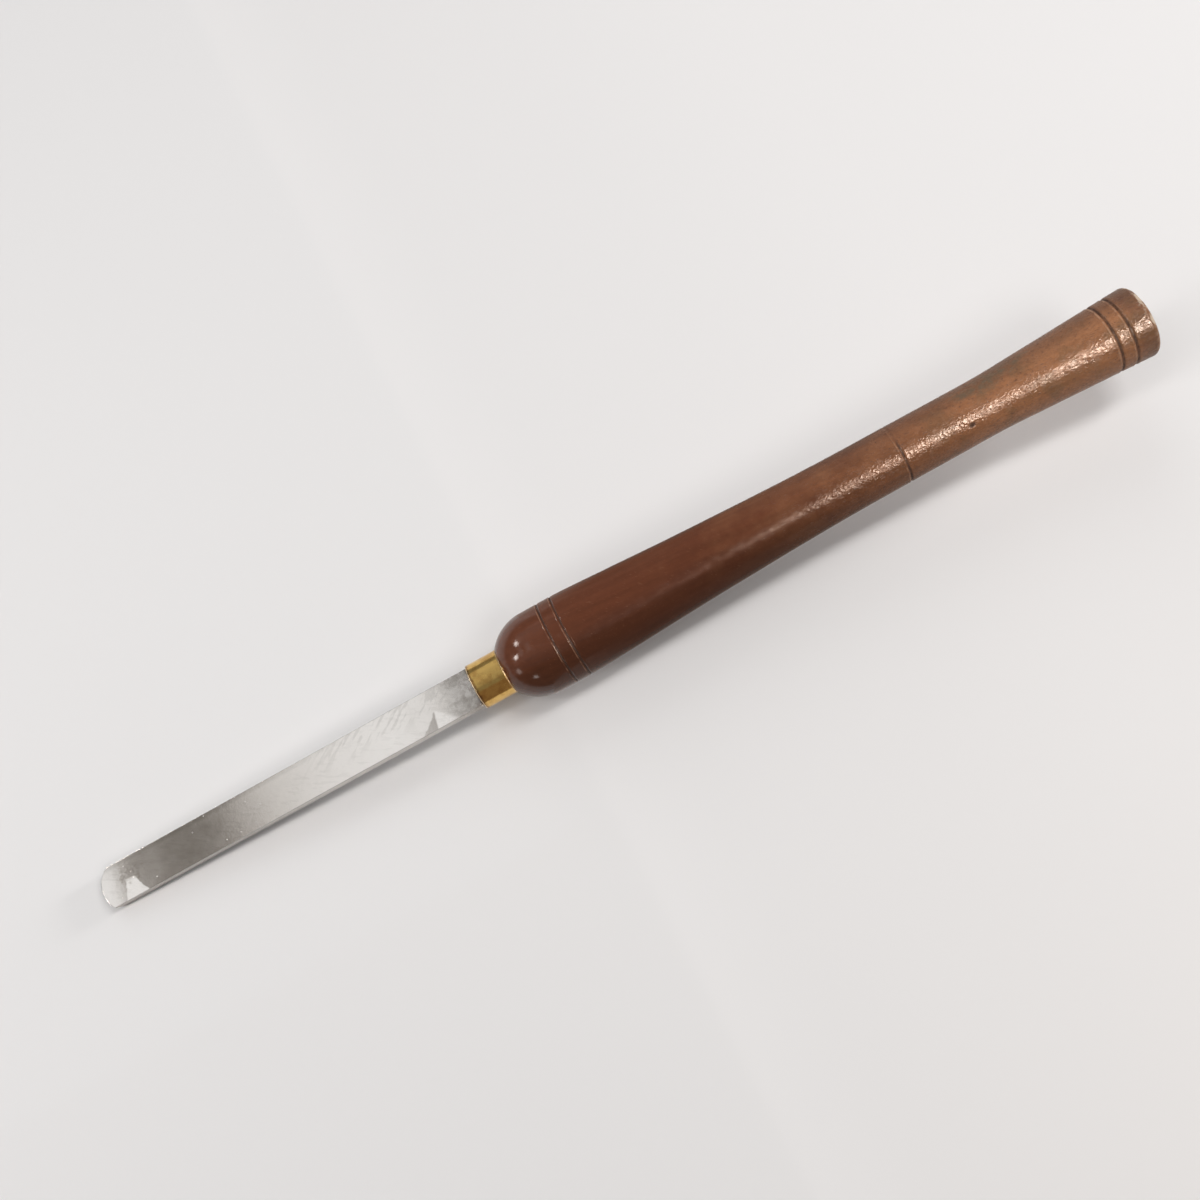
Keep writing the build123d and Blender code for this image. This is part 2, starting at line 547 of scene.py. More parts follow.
class SCRAPER_OT_handle(bpy.types.Operator):
    """Turn the wooden handle with its scribed rings, and stain and lacquer it"""

    bl_idname = "scraper.handle"
    bl_label = "Turn Handle"

    # How the frame's outline is read: the least dip of a ring, and where the rim and butt begin
    least_dip = 0.2
    rim_zone = 10.0
    butt_zone = 5.0
    # The tang's bore, read as the corners within a share of the ferrule's radius, before the butt
    bore_share = 0.6
    bore_to_butt = 50.0
    tenon_bevel = 0.15
    # Rows of faces in a ring, over a share of its width to each side, and in the rounded rim
    rows_in_ring = 25
    ring_rows_reach = 1.8
    rows_in_rim = 9
    # The butt's end face: its rows as shares of the radius, turning ripples and the centre's mark
    end_shares = (0.985, 0.94, 0.86, 0.76, 0.66, 0.55, 0.44, 0.33, 0.23, 0.15, 0.095)
    end_ripple = 0.035
    ripple_pitch = 41.0
    centre_mark_share = 0.07
    centre_mark_depths = (0.5, 1.4)
    # Scribed rings: depth as a share of the width, and their raised lips
    ring_depth = 0.45
    lip_height = 0.1
    lip_place = 1.15
    lip_spread = 0.26
    # Dents and chips: place along and around the handle, reach along and around, and depth
    dents = (
        ("nick_behind_the_middle_ring", 452.4, 124.0, 1.7, 0.9, 0.3),
        ("nick_on_the_upper_side", 437.0, 101.0, 0.9, 0.7, 0.16),
        ("nick_before_the_butt", 509.0, 119.0, 1.2, 0.9, 0.2),
        ("rim_chip_top", 543.4, 70.0, 1.2, 3.2, 0.38),
        ("rim_chip_side", 543.6, 112.0, 1.0, 2.2, 0.26),
        ("rim_chip_back", 543.9, 311.0, 1.2, 2.4, 0.45),
        ("shoulder_knock", 231.0, 63.0, 1.8, 1.5, 0.12),
    )
    # Colours of the marks in and on the stain, of painted side shade and of painted lip highlights
    grime_brown = (0.06, 0.022, 0.012)
    handled_grey = (0.22, 0.135, 0.07)
    dusky_rim = (0.085, 0.045, 0.042)
    painted_near_side_shade = (0.03, 0.01, 0.005)
    painted_far_side_shade = (0.075, 0.04, 0.03)
    pore_brown = (0.055, 0.02, 0.012)
    scratched_stain = (0.33, 0.15, 0.08)
    speck_brown = (0.06, 0.024, 0.014)
    lip_wear_and_highlight = (0.46, 0.27, 0.17)
    ring_dirt = (0.045, 0.018, 0.01)
    smudge_grey = (0.13, 0.1, 0.065)
    nick_dirt = (0.05, 0.02, 0.012)

    def execute(self, context):
        settings = context.scene.scraper_handle
        self.read_outline()
        material = self.make_wood(settings)
        corners, faces = turn_solid(
            self.outline_rows(settings), settings.steps_around, self.surface_change(settings)
        )
        tool_piece("turned_handle", corners, faces, material, "handle")
        return {"FINISHED"}

    def read_outline(self):
        """The frame's outline, parted into its smooth run, its scribed rings and its rim."""
        outline = seam_outline_mm(HANDLE_MM, HANDLE_FRONT_MM, FERRULE_RADIUS_MM)
        self.shoulder = outline[0]
        self.crest = max(outline, key=lambda pair: (round(pair[1], 2), -pair[0]))
        dips = [
            i
            for i in range(1, len(outline) - 1)
            if outline[i][1] < min(outline[i - 1][1], outline[i + 1][1]) - self.least_dip
            and outline[i][0] < HANDLE_END_MM - self.butt_zone
        ]
        self.rings = [(outline[i][0], outline[i + 1][0] - outline[i - 1][0]) for i in dips]
        self.middle_ring = self.rings[2][0]
        near_dips = {j for i in dips for j in (i - 1, i, i + 1)}
        smooth = [p for j, p in enumerate(outline) if j not in near_dips and p[0] >= self.crest[0]]
        at_rim = [p for p in smooth if p[0] > HANDLE_END_MM - self.rim_zone]
        self.rim = max(at_rim, key=lambda pair: pair[1])
        self.rim_run = HANDLE_END_MM - self.rim[0]
        self.curve = EasedCurve([p for p in smooth if p[0] <= self.rim[0]])

    def radius_mm(self, station):
        """Radius of the plain outline at a station, without rings."""
        if station < self.crest[0]:
            run = self.crest[0] - self.shoulder[0]
            drop = self.crest[1] - self.shoulder[1]
            front = (run * run + drop * drop) / (2 * drop)
            back = self.crest[0] - station
            return self.crest[1] - front + math.sqrt(front * front - back * back)
        if station > self.rim[0]:
            back = min(station - self.rim[0], self.rim_run)
            return self.rim[1] - self.rim_run + math.sqrt(self.rim_run**2 - back * back)
        return self.curve(station)

    def bore_rows(self):
        """Stations and radii from the bottom of the tang's bore, over the tenon, to the shoulder."""
        radii = np.hypot(HANDLE_MM[:, 1], HANDLE_MM[:, 2])
        bored = (radii < FERRULE_RADIUS_MM * self.bore_share) & (radii > 1.0)
        bored &= HANDLE_MM[:, 0] < HANDLE_END_MM - self.bore_to_butt
        bore_radius = radii[bored].min()
        bore_end = HANDLE_MM[bored, 0].max()
        mouth_radii = radii[abs(HANDLE_MM[:, 0] - BLADE_REACH_MM) < IN_PLANE_MM]
        mouth_radius, tenon_radius = mouth_radii.min(), mouth_radii.max()
        return [
            (bore_end, 0.0),
            (bore_end, bore_radius),
            (BLADE_REACH_MM + mouth_radius - bore_radius, bore_radius),
            (BLADE_REACH_MM, mouth_radius),
            (BLADE_REACH_MM, (mouth_radius + tenon_radius) / 2),
            (BLADE_REACH_MM, tenon_radius - self.tenon_bevel),
            (BLADE_REACH_MM + self.tenon_bevel, tenon_radius),
            (HANDLE_FRONT_MM, tenon_radius),
            (HANDLE_FRONT_MM, self.shoulder[1] - 0.2),
        ]

    def outline_rows(self, settings):
        """Stations and radii from the bottom of the bore, round the outside, to the butt."""
        first = self.shoulder[0] + 0.12
        stations = list(np.arange(first, self.rim[0], settings.row_spacing / MM))
        reach = self.ring_rows_reach
        for centre, width in self.rings:
            stations = [s for s in stations if abs(s - centre) > width * (reach + 0.1)]
            shares = np.linspace(-reach, reach, self.rows_in_ring)
            stations += [centre + width * share for share in shares]
        rows = self.bore_rows()
        rows += [(s, self.radius_mm(s)) for s in sorted(stations)]
        for turn in np.linspace(0, math.pi / 2, self.rows_in_rim):
            station = self.rim[0] + self.rim_run * math.sin(turn)
            rows.append((station, self.rim[1] - self.rim_run + self.rim_run * math.cos(turn)))
        edge = rows[-1][1]
        for share in self.end_shares:
            ripple = self.end_ripple * (math.sin(share * self.ripple_pitch) - 1)
            rows.append((HANDLE_END_MM + ripple, edge * share))
        edge_depth, point_depth = self.centre_mark_depths
        rows.append((HANDLE_END_MM - edge_depth, edge * self.centre_mark_share))
        rows.append((HANDLE_END_MM - point_depth, 0.0))
        return rows

    def ring_depth_mm(self, station, angle):
        """Depth of the scribed rings, uneven round the handle, with a low lip on each side."""
        depth = 0.0
        for centre, width in self.rings:
            away = (station - centre) / width
            if abs(away) > 2.0:
                continue
            spot = Vector((centre * 0.37, 2.2 * math.cos(angle), 2.2 * math.sin(angle)))
            uneven = 0.78 + 0.5 * noise.noise(spot)
            shift = 0.12 * noise.noise(spot * 1.7 + Vector((9.0, 0.0, 0.0)))
            cut = smooth_step(1.35 - abs(away - shift) / 0.64)
            if centre == self.middle_ring:
                uneven *= 0.2 + 0.8 * smooth_step((0.3 - math.cos(angle)) / 0.5)
            near_lip = math.exp(-(((away + self.lip_place) / self.lip_spread) ** 2))
            far_lip = math.exp(-(((away - self.lip_place) / self.lip_spread) ** 2))
            lip = near_lip * (0.7 + noise.noise(spot * 4.0)) + 0.5 * far_lip
            depth += self.ring_depth * width * uneven * cut - self.lip_height * lip
        return depth

    def surface_change(self, settings):
        """Change of radius at a place on the handle, from waves, rings and dents."""
        wave_mm = settings.waviness / MM
        first = self.shoulder[0] + 0.1

        def change(station, radius, angle):
            if station < first or radius < 8.0:
                return 0.0
            around = Vector((math.cos(angle), math.sin(angle))) * radius
            place = Vector((station, around.x, around.y))
            low = noise.noise(Vector((station / 26.0, around.x / 11.0, around.y / 11.0)))
            mid = noise.noise(place / 5.5 + Vector((3.1, 7.7, 1.3)))
            fine = noise.noise(place / 2.4 + Vector((8.3, 2.9, 5.1)))
            amount = wave_mm * (0.9 * low + 0.42 * mid + 0.16 * fine)
            amount *= smooth_step((station - first) / 4.0)
            amount -= self.ring_depth_mm(station, angle)
            for _, spot, turn, reach, reach_around, depth in self.dents:
                if abs(station - spot) > 3 * reach:
                    continue
                gap = math.radians(turn) - angle
                gap = (gap + math.pi) % (2 * math.pi) - math.pi
                away = math.hypot((station - spot) / reach, gap * radius / reach_around)
                if away < 1.6:
                    rough = 1.0 + 0.5 * noise.noise(place * 1.9)
                    amount -= depth * rough * smooth_step((1.6 - away) / 1.4)
            return amount

        return change

    def dent_centre_mm(self, name):
        """A dent's place in the tool's own axes."""
        _, station, turn, *_ = next(dent for dent in self.dents if dent[0] == name)
        radius = self.radius_mm(min(station, HANDLE_END_MM - 0.3))
        angle = math.radians(turn)
        return (station, radius * math.cos(angle), radius * math.sin(angle))

    def make_wood(self, settings):
        """Red-brown stained wood under lacquer, thinned and rubbed towards the butt."""
        material, tree = empty_material("stained_wood")
        position = tool_position(tree)
        station, across, _ = parted(position)
        along_grain = turned(position, 0.07)
        clouds = use_group("Mottling", position, Size=16.0, Contrast=1.1)
        fine_clouds = use_group("Mottling", position, Size=3.2, Contrast=1.2)
        colour = self.stain(settings, along_grain, station, clouds, fine_clouds)
        # Painted shade: darker on the near side in front and on the far side behind
        colour = self.painted_side_shade(colour, station, across)

        # Open pores, short scratches and specks, more of them where the lacquer is worn
        worn = station.eased(320.0, 430.0)
        pores = use_group("Strokes", along_grain, Turn=0.1, Length=2.6, Width=0.3, Amount=0.4)
        pores = pores * worn.eased(0.0, 1.0, 0.12, 0.62)
        colour = blend(colour, self.pore_brown, pores)
        scratches = use_group("Strokes", position, Turn=0.75, Length=4.0, Width=0.35, Amount=0.28)
        scratches = scratches * fine_clouds.eased(0.3, 0.7)
        colour = blend(colour, self.scratched_stain, scratches * 0.22)
        specks = use_group("Specks", position, Spacing=2.0, Radius=0.5, Share=0.5)
        specks = specks * worn.eased(0.4, 1.0, 0.0, 0.6) * clouds.eased(0.3, 0.6, 0.25, 1.0)
        colour = blend(colour, self.speck_brown, specks)

        # Scribed rings: brown dirt in the grooves, and lips rubbed pale, with a painted highlight
        dirt, lips_worn_and_lit = self.ring_masks(station, across, fine_clouds)
        lips_worn_and_lit = lips_worn_and_lit * station.eased(300.0, 400.0, 0.36, 0.6)
        colour = blend(colour, self.lip_wear_and_highlight, lips_worn_and_lit)
        colour = blend(colour, self.ring_dirt, dirt)

        # A grey smudge, a dirty nick, chips and a rubbed rim down to bare wood, with a painted
        # highlight
        smudge = use_group(
            "Worn Patch",
            position,
            Centre=(471.0, 8.0, 12.0),
            Reach=(26.0, 7.0, 7.0),
            Raggedness=1.1,
            Softness=0.7,
        )
        smudge = smudge * fine_clouds.eased(0.2, 0.8, 0.25, 0.75)
        colour = blend(colour, self.smudge_grey, smudge)
        nick = use_group(
            "Worn Patch",
            position,
            Centre=self.dent_centre_mm("nick_behind_the_middle_ring"),
            Reach=(2.1, 1.5, 1.5),
            Raggedness=0.6,
            Softness=0.5,
        )
        colour = blend(colour, self.nick_dirt, nick * 0.9)
        chips = self.chip_and_rim_highlight_mask(position, fine_clouds)
        colour = blend(colour, settings.bare_wood, chips)

        # Lacquer: a deep gloss at the front, dulled and crazed where hands have held it
        rough_places = dirt.larger(chips).larger(pores).larger(nick)
        grit = grain_noise(position, (3.2, 2.0, 2.0), detail=3.0).eased(0.5, 0.6) * worn
        roughness = station.eased(290.0, 430.0, 0.15, 0.18) + (fine_clouds - 0.5) * 0.1
        roughness = roughness + rough_places * 0.5 + grit * 0.2 + specks * 0.6
        peel = grain_noise(position, (4.5, 3.0, 3.0), detail=1.0)
        crazing = grain_noise(position, (3.4, 2.0, 2.0), detail=3.0, roughness=0.6)
        dust = grain_noise(position, (1.3, 0.9, 0.9), detail=1.0)
        height = (
            crazing * worn.eased(0.0, 1.0, 0.004, 0.2)
            + dust * worn.eased(0.0, 1.0, 0.0, 0.15)
            + peel * worn.eased(0.0, 1.0, 0.025, 0.08)
            - pores * 0.012
            - specks * 0.05
            - scratches * 0.005
        )
        principled(
            tree, Base_Color=colour, Roughness=roughness.held(), IOR=1.44, Normal=bump(height)
        )
        return material

    def stain(self, settings, along_grain, station, clouds, fine_clouds):
        """Colour of the stain over faint figure, thinned and greyed towards the butt."""
        figure = grain_noise(along_grain, (55.0, 3.2, 3.2), detail=4.0, roughness=0.55)
        figure = figure.eased(0.3, 0.7)
        colour = blend(settings.stain_dark, settings.stain_light, figure)
        patchy = (clouds - 0.5) * 0.5 * station.eased(250.0, 420.0)
        wear = (station.eased(300.0, 520.0) + patchy).held()
        shaded_wear = tuple(0.8 * channel for channel in settings.stain_worn)
        colour = blend(colour, blend(shaded_wear, settings.stain_worn, figure), wear)
        colour = blend(colour, self.grime_brown, fine_clouds.eased(0.6, 0.25, 0.0, 0.08))
        greyed = clouds.eased(0.55, 0.2) * station.eased(380.0, 470.0) * 0.4
        colour = blend(colour, self.handled_grey, greyed)
        dusky = station.eased(532.0, 538.0) * clouds.eased(0.2, 0.6, 0.2, 0.5)
        return blend(colour, self.dusky_rim, dusky)

    def painted_side_shade(self, colour, station, across):
        """The stain, darkened by painted shade: the near side in front and the far side behind."""
        near = across.eased(-1.0, -13.0, 0.0, 0.5) * station.eased(350.0, 450.0, 1.0, 0.12)
        colour = blend(colour, self.painted_near_side_shade, near)
        far = across.eased(0.0, 12.0, 0.0, 0.52) * station.eased(330.0, 420.0)
        return blend(colour, self.painted_far_side_shade, far)

    def ring_masks(self, station, across, fine_clouds):
        """Where the rings hold dirt, and their lips rubbed pale with a painted highlight."""
        dirt, lips_worn_and_lit = 0.0, 0.0
        shallow = across.eased(5.0, -2.0, 0.12, 1.0)
        for centre, width in self.rings:
            away = station - centre
            core = away.size().eased(0.68 * width, 0.3 * width)
            # Painted highlight: the pale lip is only on the side of each groove towards the nose
            lip = (away + 1.1 * width).size().eased(0.38 * width, 0.12 * width)
            if centre == self.middle_ring:
                core = core * shallow
                lip = lip * shallow
            dirt = core * 0.85 + dirt
            lips_worn_and_lit = lip + lips_worn_and_lit
        dirt = dirt * fine_clouds.eased(0.2, 0.6, 0.6, 1.0)
        lips_worn_and_lit = lips_worn_and_lit * fine_clouds.eased(0.35, 0.65, 0.15, 1.0)
        return dirt, lips_worn_and_lit

    def chip_and_rim_highlight_mask(self, position, fine_clouds):
        """Chips where the finish has gone, and a rim line of wear with a painted highlight."""
        station, across, upright = parted(position)
        chips = 0.0
        for name in ("rim_chip_top", "rim_chip_side", "rim_chip_back"):
            chip = use_group(
                "Worn Patch",
                position,
                Centre=self.dent_centre_mm(name),
                Reach=(1.5, 3.0, 3.0),
                Raggedness=0.9,
                Softness=0.35,
            )
            chips = chip.larger(chips)
        beside = {"Y": across, "Z": upright}
        from_axis = vector_length(node_value(position.tree, "ShaderNodeCombineXYZ", 0, beside))
        broken = use_group("Mottling", position, Size=1.6, Contrast=1.6)
        edge = (fine_clouds * 3.5 + station).eased(HANDLE_END_MM - 1.8, HANDLE_END_MM + 1.2)
        edge = edge * broken.eased(0.35, 0.7, 0.1, 0.8)
        # Painted highlight: the pale rim line is kept to the upper side, where the rim catches light
        edge = edge * across.eased(-5.0, 3.0, 0.2, 1.0) * from_axis.eased(13.6, 15.4)
        return (chips * 0.85).larger(edge)


class SCRAPER_OT_ferrule(bpy.types.Operator):
    """Turn the brass ferrule and let it tarnish"""

    bl_idname = "scraper.ferrule"
    bl_label = "Turn Ferrule"

    steps_around = 144
    steps_along = 24
    rim_angles = (0.0, 22.5, 45.0, 67.5, 90.0)
    bore_chamfer = 0.1
    # Colours of the dark front rim, the rubbed edges and the specks
    front_tarnish = (0.2, 0.085, 0.035)
    rubbed_brass = (0.88, 0.78, 0.58)
    speck_brown = (0.12, 0.07, 0.03)

    def execute(self, context):
        settings = context.scene.scraper_ferrule
        radii = np.hypot(FERRULE_MM[:, 1], FERRULE_MM[:, 2])
        material = self.make_brass(settings)
        rows = self.outline_rows(radii.min(), radii.max(), settings.rim_rounding / MM)
        change = self.surface_change(radii.max())
        corners, faces = turn_solid(rows, self.steps_around, change)
        faces += self.closing_faces(len(rows))
        tool_piece("brass_ferrule", corners, faces, material, "ferrule")
        return {"FINISHED"}

    def outline_rows(self, bore, outer, rounding):
        """A closed outline: out over the front end, back along the outside, and in again."""
        front, back = BLADE_REACH_MM, HANDLE_FRONT_MM
        outside = np.linspace(front + rounding, back - rounding, self.steps_along)[1:-1]
        turns = [math.radians(angle) for angle in self.rim_angles]
        inner = outer - rounding
        rows = [(front, bore + self.bore_chamfer)]
        rows += [
            (front + rounding - rounding * math.cos(t), inner + rounding * math.sin(t))
            for t in turns
        ]
        rows += [(station, outer) for station in outside]
        rows += [
            (back - rounding + rounding * math.sin(t), inner + rounding * math.cos(t))
            for t in turns
        ]
        rows += [(back, bore + self.bore_chamfer), (back - self.bore_chamfer, bore)]
        rows += [(front + self.bore_chamfer, bore)]
        return rows

    def closing_faces(self, rows):
        """Faces that join the last ring of an open sleeve to its first."""
        steps = self.steps_around
        last = (rows - 1) * steps
        return [
            [last + step, last + (step + 1) % steps, (step + 1) % steps, step]
            for step in range(steps)
        ]

    def surface_change(self, outer):
        """Faint out-of-round waves and small knocks on the outside."""

        def change(station, radius, angle):
            if radius < outer - 0.5:
                return 0.0
            place = Vector((station, radius * math.cos(angle), radius * math.sin(angle)))
            return 0.02 * noise.noise(place / 6.0) + 0.008 * noise.noise(place / 1.7) - 0.014

        return change

    def make_brass(self, settings):
        """Polished brass with faint lathe lines, and tarnish that is deepest at the front rim."""
        material, tree = empty_material("tarnished_brass")
        position = tool_position(tree)
        station, _, _ = parted(position)
        from_front = station - BLADE_REACH_MM
        from_rim = from_front.smaller(HANDLE_FRONT_MM - station)
        clouds = use_group("Mottling", position, Size=5.0, Contrast=1.3)
        fine_clouds = use_group("Mottling", position, Size=1.1, Contrast=1.2)
        specks = use_group("Specks", position, Spacing=1.3, Radius=0.2, Share=0.2)
        scratches = use_group("Strokes", position, Turn=1.25, Length=4.0, Width=0.12, Amount=0.3)
        lines = grain_noise(position, (0.4, 30.0, 30.0), detail=3.0, roughness=0.6)
        tarnish = clouds.eased(0.3, 0.9, 0.05, 0.5)
        dark_front = (fine_clouds * 1.2 + from_front).eased(2.6, 1.0, 0.0, 0.85)
        rubbed = from_rim.eased(0.6, 0.3) * fine_clouds.eased(0.2, 0.5, 0.5, 1.0)

        colour = blend(settings.brass, settings.tarnish, tarnish)
        colour = blend(colour, self.front_tarnish, dark_front)
        colour = blend(colour, self.rubbed_brass, rubbed * 0.85)
        colour = blend(colour, self.speck_brown, specks * 0.6)
        roughness = clouds * 0.06 + 0.1 + tarnish * 0.08 + from_rim.eased(0.7, 0.3, 0.0, 0.4)
        roughness = (roughness + specks * 0.25).held()
        height = lines * 0.0025 - scratches * 0.003 - specks * 0.006 + fine_clouds * 0.003
        principled(
            tree, Base_Color=colour, Metallic=1.0, Roughness=roughness, Normal=bump(height)
        )
        return material


class SCRAPER_OT_blade(bpy.types.Operator):
    """Grind the steel blade, its round nose and its tang"""

    bl_idname = "scraper.blade"
    bl_label = "Grind Blade"

    # Faces: across, along, in the nose's share of the length, and in the arrises and sides
    steps_across = 40
    steps_along = 200
    steps_in_nose = 64
    nose_share = 0.16
    lip_share = 0.0008
    steps_at_arris = 4
    steps_on_side = 6
    # The dressed nose: how far back it reaches, how that changes across, and its drop at the tip
    nose_reach = 15.5
    nose_skew = 0.3
    nose_drop = 0.185
    # The nose as ground: its round is a little larger, off to one side and squarer on the near side
    nose_shift = 0.7
    nose_ease = 0.35
    near_squareness = 2.5
    # The tang: a short straight root, and how far and how much its end is narrowed
    tang_root = 0.3
    tang_chamfer = 2.5
    tang_end_share = 0.47
    # Small flats left by the last strokes of the grinder: corners along and across the top, and
    # how steeply each one leans towards the nose
    flats = (
        ("bright_flat_at_nose", ((12.4, -0.2), (16.6, -0.4), (21.0, -9.6), (9.6, -9.6)), 0.055),
        ("bright_flat_at_ferrule", ((176.6, -1.0), (185.8, -9.6), (174.8, -9.6)), 0.03),
        ("dull_flat_at_ferrule", ((176.2, -1.4), (174.7, -9.6), (166.8, -9.6)), -0.024),
    )
    # Colours of tarnish with painted shade by the ferrule, painted shade at the foot, stain behind
    # the nose
    tarnish_and_ferrule_shade = (0.3, 0.26, 0.24)
    painted_foot_shade = (0.16, 0.14, 0.125)
    stain_brown = (0.34, 0.3, 0.25)

    def execute(self, context):
        settings = context.scene.scraper_blade
        self.read_sizes(settings)
        corners, faces = self.ground_bar()
        material = self.make_steel(settings)
        tool_piece("ground_blade", corners, faces, material, "blade")
        return {"FINISHED"}

    def read_sizes(self, settings):
        """Sizes of the bar, its nose and its tang, as the frame has them."""
        bar = BLADE_MM[BLADE_MM[:, 0] < BLADE_REACH_MM - 20]
        tang = BLADE_MM[BLADE_MM[:, 0] > BLADE_REACH_MM + 5]
        self.half_width = bar[:, 1].max()
        self.half_thickness = bar[:, 2].max()
        self.tang_half_width = tang[:, 1].max()
        self.tang_half_thickness = tang[:, 2].max()
        self.tang_end = tang[:, 0].max()
        self.arris = settings.arris_radius / MM
        top = bar[abs(bar[:, 2] - self.half_thickness) < IN_PLANE_MM]
        under = bar[abs(bar[:, 2] + self.half_thickness) < IN_PLANE_MM]
        self.nose_setback = under[:, 0].min()
        corner = top[top[:, 0] < self.half_width]
        widest = corner[np.argmax(abs(corner[:, 1]))]
        self.nose_radius = (widest[0] ** 2 + widest[1] ** 2) / (2 * widest[0])

    def section_rows(self):
        """Heights of the side's rows from top to underside, with the half width at each."""
        r = self.arris
        high, wide = self.half_thickness - r, self.half_width - r
        turns = np.linspace(0, math.pi / 2, self.steps_at_arris + 1)
        upper = [(high + r * math.cos(t), wide + r * math.sin(t)) for t in turns]
        flat = np.linspace(high, -high, self.steps_on_side + 1)[1:-1]
        lower = [(-z, half) for z, half in reversed(upper)]
        return upper + [(float(z), self.half_width) for z in flat] + lower

    def nose_edge(self, y, z):
        """Station of the nose's surface: a half round that is bevelled back underneath."""
        drop = (self.half_thickness - z) / (2 * self.half_thickness)
        full = self.nose_radius + self.nose_ease
        radius = full - self.nose_setback * drop
        beside = y + self.nose_shift
        power = 2.0 if beside > 0 else self.near_squareness
        left = max(1.0 - (abs(beside) / radius) ** power, 0.0)
        return full - radius * left ** (1.0 / power)

    def worked_height(self, station, y):
        """How far the top lies below the flat, where it was linished and the nose was dressed."""
        low = 0.012 * noise.noise(Vector((station / 23.0, y / 9.0, 1.7)))
        mid = 0.003 * noise.noise(Vector((station / 9.0, y / 3.6, 4.4)))
        reach = self.nose_reach + self.nose_skew * y
        before = max(reach - station, 0.0) / reach
        return self.nose_drop * before**2.5 + low + mid

    def ground_bar(self):
        """Corners and faces of the bar, as a box whose front end is bent to the round nose."""
        rows = self.section_rows()
        across = np.linspace(-1, 1, self.steps_across + 1)
        near = np.linspace(0, self.nose_share, self.steps_in_nose)[:-1]
        far = np.linspace(self.nose_share, 1, self.steps_along - self.steps_in_nose + 1)
        along = [*np.insert(near, 1, self.lip_share), *far]
        i_last, j_last, k_last = len(along) - 1, len(across) - 1, len(rows) - 1
        corners, index, faces = [], {}, []

        def corner(i, j, k):
            if (i, j, k) not in index:
                z, half = rows[k]
                y = across[j] * half
                start = self.nose_edge(y, z)
                x = start + (BLADE_REACH_MM - start) * along[i]
                lift = smooth_step((z / self.half_thickness - 0.6) / 0.4)
                z -= lift * self.worked_height(x, y)
                index[i, j, k] = len(corners)
                corners.append((x, y, z))
            return index[i, j, k]

        def add_face(cells, turned_over):
            face = [corner(*cell) for cell in cells]
            faces.append(face[::-1] if turned_over else face)

        for i in range(i_last):
            for j in range(j_last):
                for k in (0, k_last):
                    cells = ((i, j, k), (i + 1, j, k), (i + 1, j + 1, k), (i, j + 1, k))
                    add_face(cells, k == k_last)
            for k in range(k_last):
                for j in (0, j_last):
                    cells = ((i, j, k), (i, j, k + 1), (i + 1, j, k + 1), (i + 1, j, k))
                    add_face(cells, j == j_last)
        for j in range(j_last):
            for k in range(k_last):
                cells = ((0, j, k), (0, j + 1, k), (0, j + 1, k + 1), (0, j, k + 1))
                add_face(cells, False)
        ring = [(j, 0) for j in range(j_last)] + [(j_last, k) for k in range(k_last)]
        ring += [(j, k_last) for j in range(j_last, 0, -1)] + [(0, k) for k in range(k_last, 0, -1)]
        self.add_tang(corners, faces, [corner(i_last, j, k) for j, k in ring])
        return corners, faces

    def add_tang(self, corners, faces, end_ring):
        """Carry the bar's end ring in over its shoulder and back along the tang."""
        narrow = self.tang_half_width / self.half_width
        thin = self.tang_half_thickness / self.half_thickness
        stages = (
            (BLADE_REACH_MM, narrow),
            (BLADE_REACH_MM + self.tang_root, narrow),
            (self.tang_end - self.tang_chamfer, narrow),
            (self.tang_end, narrow * self.tang_end_share),
        )
        before = end_ring
        for station, wide in stages:
            after = []
            for place in end_ring:
                _, y, z = corners[place]
                after.append(len(corners))
                corners.append((station, y * wide, z * thin))
            for a in range(len(end_ring)):
                b = (a + 1) % len(end_ring)
                faces.append([before[a], after[a], after[b], before[b]])
            before = after
        centre = len(corners)
        corners.append((self.tang_end, 0.0, 0.0))
        for a in range(len(end_ring)):
            faces.append([before[a], centre, before[(a + 1) % len(end_ring)]])

    def make_steel(self, settings):
        """Ground steel with faint streaks, scuffs, bright specks and a duller end."""
        material, tree = empty_material("ground_steel")
        position = tool_position(tree)
        station, across, upright = parted(position)
        clouds = use_group("Mottling", position, Size=9.0, Contrast=1.3)
        fine_clouds = use_group("Mottling", position, Size=2.2, Contrast=1.2)

        # Grinding streaks, scuffs on the rear half and specks on the front half
        streaks = use_group("Strokes", position, Turn=0.5, Length=6.0, Width=1.3, Amount=0.5)
        scuffs = use_group("Strokes", position, Turn=-0.6, Length=9.0, Width=1.9, Amount=0.6)
        scuffs = scuffs * station.eased(95.0, 135.0) * across.eased(-6.0, 5.0)
        specks = use_group("Specks", position, Spacing=4.0, Radius=0.36, Share=0.7)
        specks = specks * station.eased(100.0, 70.0, 0.15, 1.0)

        # Dull and tarnished by the ferrule, darker down the sides, stained behind the nose, with
        # painted shade
        # Painted shade where the ferrule meets the blade, mixed into the dull, tarnished end
        dull_and_shaded_end = (fine_clouds * 6.0 + station).eased(181.0, 198.0)
        tarnish_and_shade = station.eased(188.0, 198.0) * fine_clouds.eased(0.4, 0.7, 0.0, 0.6)
        side = across.size().eased(self.half_width - 0.16, self.half_width - 0.04)
        side = side.larger(upright.eased(self.half_thickness - 0.4, self.half_thickness - 0.7))
        # Painted shade at the foot of the side near the nose, and along the far edge of the top
        foot_shade = upright.eased(0.5, -2.6, 0.0, 0.8) * station.eased(140.0, 50.0)
        far_edge_shade = across.eased(6.6, 8.6, 0.0, 0.22) * station.eased(130.0, 90.0)
        stain = use_group(
            "Worn Patch",
            position,
            Centre=(16.0, 1.5, 3.0),
            Reach=(8.0, 4.5, 3.0),
            Raggedness=1.3,
            Softness=0.5,
        )
        stain = stain * fine_clouds.eased(0.3, 0.7, 0.1, 0.38)

